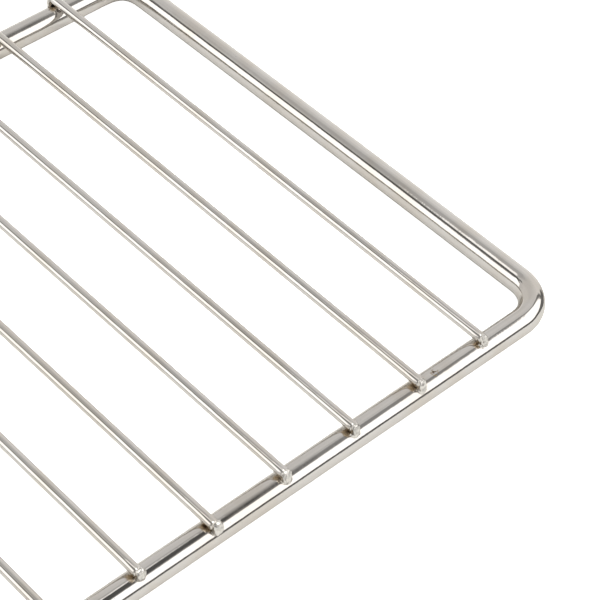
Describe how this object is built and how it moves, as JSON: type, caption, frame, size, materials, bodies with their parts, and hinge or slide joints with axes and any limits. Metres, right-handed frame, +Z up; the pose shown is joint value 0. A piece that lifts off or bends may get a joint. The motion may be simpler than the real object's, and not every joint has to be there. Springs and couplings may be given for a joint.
{
  "type": "cooling rack",
  "caption": "Flat rectangular wire cooling rack: a heavy bent rod frame with round corners, and thin parallel wires welded across its top.",
  "frame": {"origin": "on the plane that the rack rests on, under the middle of the rack", "axes": "+X along the long side, across the wires; +Y along the wires; +Z up, from the frame rod to the wires that carry the food"},
  "size_m": [0.291, 0.2, 0.011],
  "materials": {
    "plated_rod": "bright plated drawn rod, warm grey, nearly mirror smooth, faint draw lines along its length",
    "plated_wire": "bright plated drawn wire, warm grey, a little duller than the frame rod",
    "weld_metal": "plated weld metal, satin and uneven, straw to brown heat tint round its foot",
    "ground_weld": "butt weld ground flush and plated over, fine grinding lines round the rod"
  },
  "bodies": {
    "root": {"frame_rod": "plated_rod", "butt_weld": "ground_weld", "cross_wire_01": "plated_wire", "cross_wire_02": "plated_wire", "cross_wire_03": "plated_wire", "cross_wire_04": "plated_wire", "cross_wire_05": "plated_wire", "cross_wire_06": "plated_wire", "cross_wire_07": "plated_wire", "cross_wire_08": "plated_wire", "cross_wire_09": "plated_wire", "cross_wire_10": "plated_wire", "weld_bead_near_01": "weld_metal", "weld_bead_near_02": "weld_metal", "weld_bead_near_03": "weld_metal", "weld_bead_near_04": "weld_metal", "weld_bead_near_05": "weld_metal", "weld_bead_near_06": "weld_metal", "weld_bead_near_07": "weld_metal", "weld_bead_near_08": "weld_metal", "weld_bead_near_09": "weld_metal", "weld_bead_near_10": "weld_metal", "weld_bead_far_01": "weld_metal", "weld_bead_far_02": "weld_metal", "weld_bead_far_03": "weld_metal", "weld_bead_far_04": "weld_metal", "weld_bead_far_05": "weld_metal", "weld_bead_far_06": "weld_metal", "weld_bead_far_07": "weld_metal", "weld_bead_far_08": "weld_metal", "weld_bead_far_09": "weld_metal", "weld_bead_far_10": "weld_metal"}
  },
  "joints": []
}
